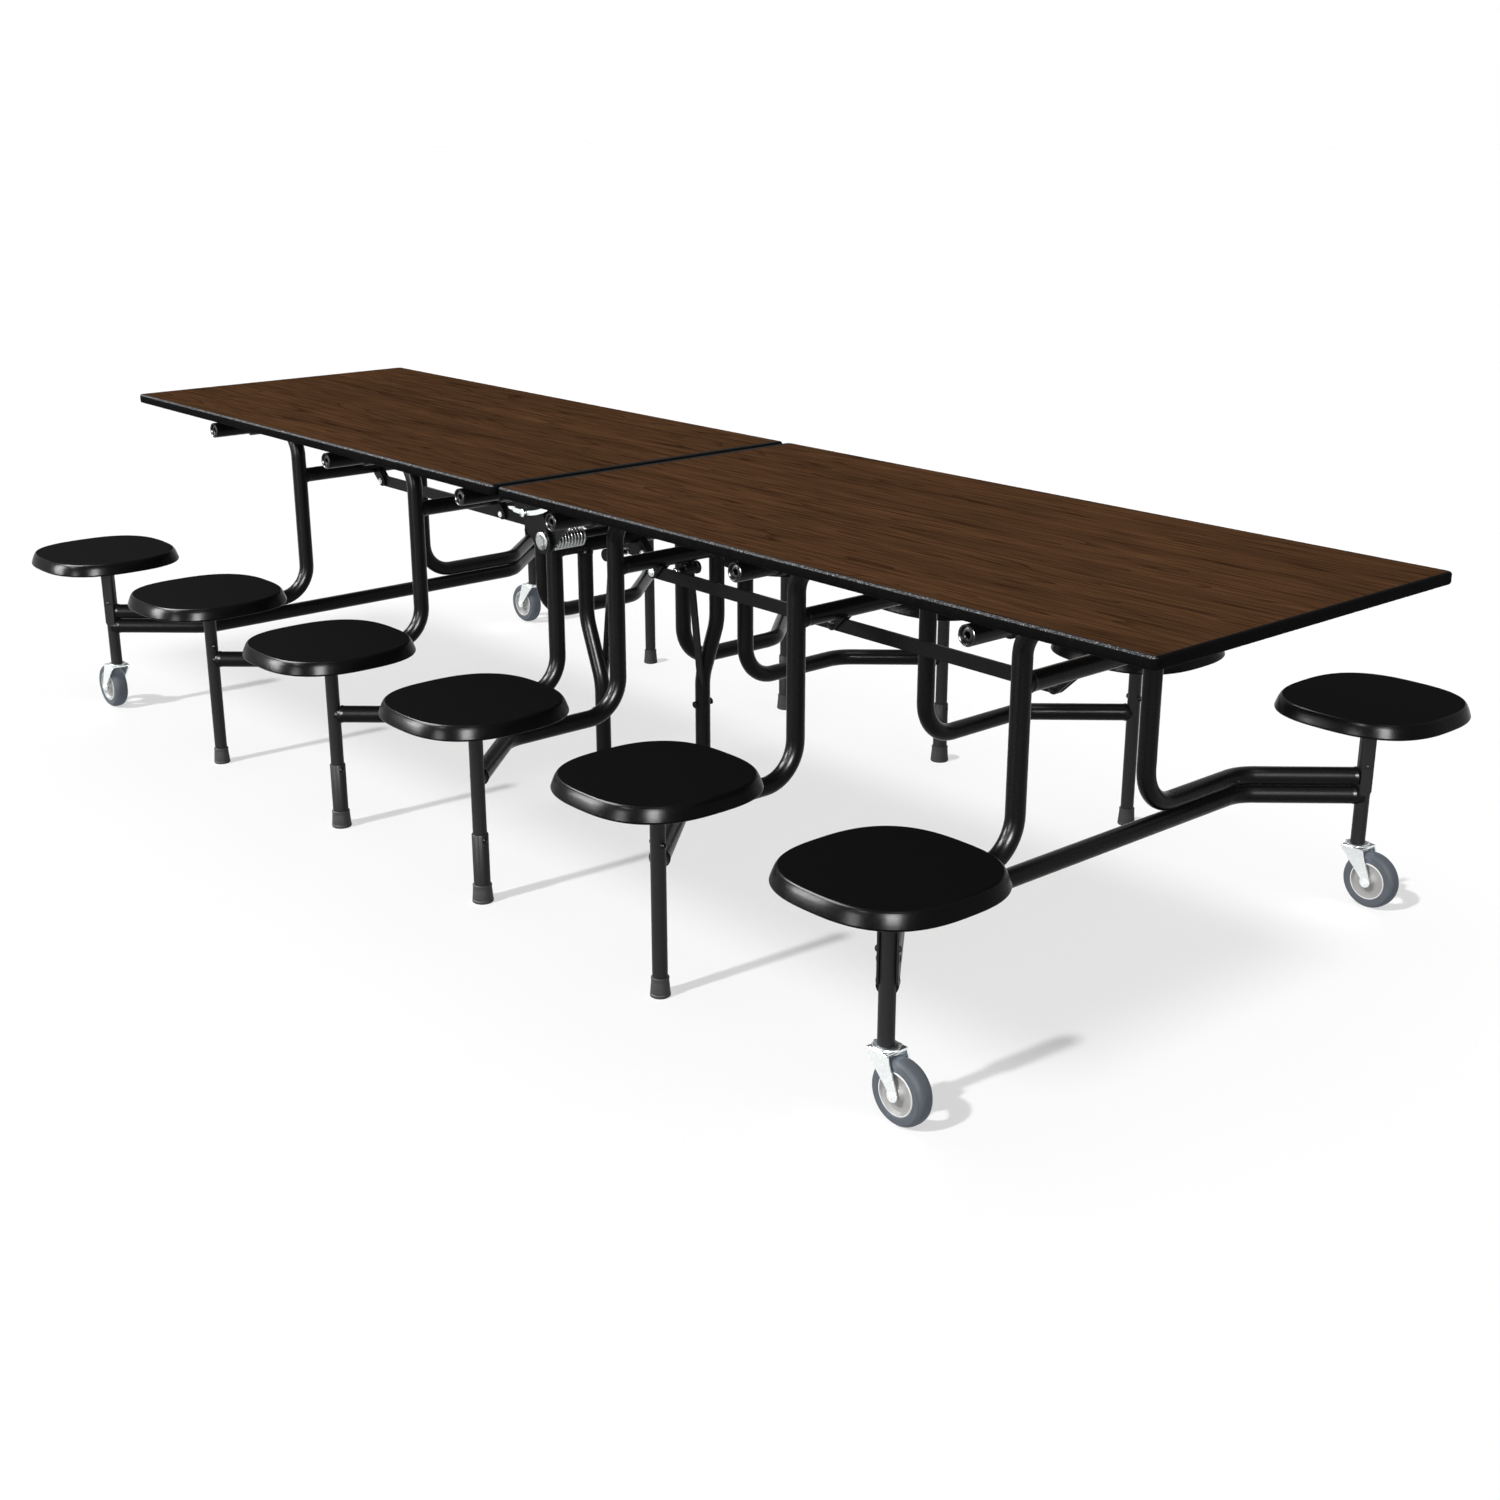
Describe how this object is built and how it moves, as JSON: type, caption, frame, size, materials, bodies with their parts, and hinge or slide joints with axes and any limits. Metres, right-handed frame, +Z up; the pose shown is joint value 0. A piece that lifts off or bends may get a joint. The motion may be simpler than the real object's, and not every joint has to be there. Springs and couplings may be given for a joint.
{
  "type": "mobile cafeteria table",
  "caption": "Folding lunch table on casters: hinged laminate tops on bent-tube frames with fixed stools, link bars keeping the frames upright, and a sprung centre hinge.",
  "frame": {"origin": "floor, under the centre of the seam between the tops", "axes": "+X along the table, +Y to the far side, +Z up"},
  "size_m": [3.04, 1.4842, 0.686],
  "materials": {
    "walnut_laminate": "satin wood-grain laminate",
    "edge_polymer": "textured black moulded edge",
    "seat_plastic": "satin black moulded plastic",
    "foot_rubber": "matt black rubber",
    "tyre_rubber": "grey rubber tyre on a light grey hub",
    "zinc_plate": "bright zinc plate",
    "black_powder_coat": "satin black powder coat"
  },
  "bodies": {
    "left_end_frame": {"left_end_arms": "black_powder_coat", "left_end_cross_tube": "black_powder_coat", "left_end_pivot_tube": "black_powder_coat", "left_end_seat_posts": "black_powder_coat", "left_end_seats": "seat_plastic", "left_lower_bar": "black_powder_coat"},
    "left_inner_frame": {"left_inner_arms": "black_powder_coat", "left_inner_cross_tube": "black_powder_coat", "left_inner_pivot_tube": "black_powder_coat", "left_inner_seat_posts": "black_powder_coat", "left_inner_seats": "seat_plastic", "left_inner_feet": "foot_rubber", "left_centre_leg": "black_powder_coat"},
    "left_middle_frame": {"left_middle_arms": "black_powder_coat", "left_middle_cross_tube": "black_powder_coat", "left_middle_pivot_tube": "black_powder_coat", "left_middle_seat_posts": "black_powder_coat", "left_middle_seats": "seat_plastic", "left_middle_feet": "foot_rubber"},
    "left_top": {"left_top_panel": "walnut_laminate", "left_top_edge": "edge_polymer", "left_pivot_saddles": "black_powder_coat", "left_hinge_plates": "black_powder_coat", "hinge_shaft": "zinc_plate", "lift_springs": "zinc_plate"},
    "left_link": {"left_link_bar": "black_powder_coat"},
    "left_near_fork": {"left_near_caster_fork": "zinc_plate"},
    "left_near_wheel": {"left_near_caster_wheel": "tyre_rubber"},
    "left_far_fork": {"left_far_caster_fork": "zinc_plate"},
    "left_far_wheel": {"left_far_caster_wheel": "tyre_rubber"},
    "right_inner_frame": {"right_inner_arms": "black_powder_coat", "right_inner_cross_tube": "black_powder_coat", "right_inner_pivot_tube": "black_powder_coat", "right_inner_seat_posts": "black_powder_coat", "right_inner_seats": "seat_plastic", "right_inner_feet": "foot_rubber", "right_centre_leg": "black_powder_coat"},
    "right_middle_frame": {"right_middle_arms": "black_powder_coat", "right_middle_cross_tube": "black_powder_coat", "right_middle_pivot_tube": "black_powder_coat", "right_middle_seat_posts": "black_powder_coat", "right_middle_seats": "seat_plastic", "right_middle_feet": "foot_rubber"},
    "right_end_frame": {"right_end_arms": "black_powder_coat", "right_end_cross_tube": "black_powder_coat", "right_end_pivot_tube": "black_powder_coat", "right_end_seat_posts": "black_powder_coat", "right_end_seats": "seat_plastic", "right_lower_bar": "black_powder_coat"},
    "right_top": {"right_top_panel": "walnut_laminate", "right_top_edge": "edge_polymer", "right_pivot_saddles": "black_powder_coat", "right_hinge_plates": "black_powder_coat"},
    "right_link": {"right_link_bar": "black_powder_coat"},
    "right_near_fork": {"right_near_caster_fork": "zinc_plate"},
    "right_near_wheel": {"right_near_caster_wheel": "tyre_rubber"},
    "right_far_fork": {"right_far_caster_fork": "zinc_plate"},
    "right_far_wheel": {"right_far_caster_wheel": "tyre_rubber"},
    "latch": {"latch_lever": "zinc_plate"}
  },
  "joints": [
    {"name": "fold", "type": "hinge", "parent": "left_end_frame", "child": "left_top", "pos_m": [-1.171, 0, 0.64], "axis": [0, -1, 0], "range_deg": [0, 80]},
    {"name": "left_middle_pivot", "type": "hinge", "parent": "left_top", "child": "left_middle_frame", "pos_m": [-0.6605, 0, 0.64], "axis": [0, 1, 0], "range_deg": [0, 80]},
    {"name": "left_inner_pivot", "type": "hinge", "parent": "left_top", "child": "left_inner_frame", "pos_m": [-0.15, 0, 0.64], "axis": [0, 1, 0], "range_deg": [0, 80]},
    {"name": "centre_hinge", "type": "hinge", "parent": "left_top", "child": "right_top", "pos_m": [0, 0, 0.568], "axis": [0, 1, 0], "range_deg": [0, 160], "deforming": ["lift_springs"]},
    {"name": "right_inner_pivot", "type": "hinge", "parent": "right_top", "child": "right_inner_frame", "pos_m": [0.15, 0, 0.64], "axis": [0, -1, 0], "range_deg": [0, 80]},
    {"name": "right_middle_pivot", "type": "hinge", "parent": "right_top", "child": "right_middle_frame", "pos_m": [0.6605, 0, 0.64], "axis": [0, -1, 0], "range_deg": [0, 80]},
    {"name": "right_end_pivot", "type": "hinge", "parent": "right_top", "child": "right_end_frame", "pos_m": [1.171, 0, 0.64], "axis": [0, -1, 0], "range_deg": [0, 80]},
    {"name": "left_link_pivot", "type": "hinge", "parent": "left_end_frame", "child": "left_link", "pos_m": [-1.091, 0.045, 0.487], "axis": [0, -1, 0], "range_deg": [0, 80]},
    {"name": "right_link_pivot", "type": "hinge", "parent": "right_end_frame", "child": "right_link", "pos_m": [1.091, -0.045, 0.487], "axis": [0, 1, 0], "range_deg": [0, 80]},
    {"name": "latch_lift", "type": "hinge", "parent": "left_top", "child": "latch", "pos_m": [-0.045, -0.2665, 0.6165], "axis": [0, -1, 0], "range_deg": [0, 20]},
    {"name": "left_near_swivel", "type": "hinge", "parent": "left_end_frame", "child": "left_near_fork", "pos_m": [-1.271, -0.59, 0.109], "axis": [0, 0, 1], "continuous": true},
    {"name": "left_near_roll", "type": "hinge", "parent": "left_near_fork", "child": "left_near_wheel", "pos_m": [-1.305, -0.59, 0.0508], "axis": [0, 1, 0], "continuous": true},
    {"name": "left_far_swivel", "type": "hinge", "parent": "left_end_frame", "child": "left_far_fork", "pos_m": [-1.271, 0.59, 0.109], "axis": [0, 0, 1], "continuous": true},
    {"name": "left_far_roll", "type": "hinge", "parent": "left_far_fork", "child": "left_far_wheel", "pos_m": [-1.305, 0.59, 0.0508], "axis": [0, 1, 0], "continuous": true},
    {"name": "right_near_swivel", "type": "hinge", "parent": "right_end_frame", "child": "right_near_fork", "pos_m": [1.271, -0.59, 0.109], "axis": [0, 0, 1], "continuous": true},
    {"name": "right_near_roll", "type": "hinge", "parent": "right_near_fork", "child": "right_near_wheel", "pos_m": [1.305, -0.59, 0.0508], "axis": [0, 1, 0], "continuous": true},
    {"name": "right_far_swivel", "type": "hinge", "parent": "right_end_frame", "child": "right_far_fork", "pos_m": [1.271, 0.59, 0.109], "axis": [0, 0, 1], "continuous": true},
    {"name": "right_far_roll", "type": "hinge", "parent": "right_far_fork", "child": "right_far_wheel", "pos_m": [1.305, 0.59, 0.0508], "axis": [0, 1, 0], "continuous": true}
  ],
  "couplings": [
    {"joint": "left_middle_pivot", "follows": "fold", "ratio": 1},
    {"joint": "left_inner_pivot", "follows": "fold", "ratio": 1},
    {"joint": "centre_hinge", "follows": "fold", "ratio": 2},
    {"joint": "right_inner_pivot", "follows": "fold", "ratio": 1},
    {"joint": "right_middle_pivot", "follows": "fold", "ratio": 1},
    {"joint": "right_end_pivot", "follows": "fold", "ratio": 1},
    {"joint": "left_link_pivot", "follows": "fold", "ratio": 1},
    {"joint": "right_link_pivot", "follows": "fold", "ratio": 1}
  ]
}
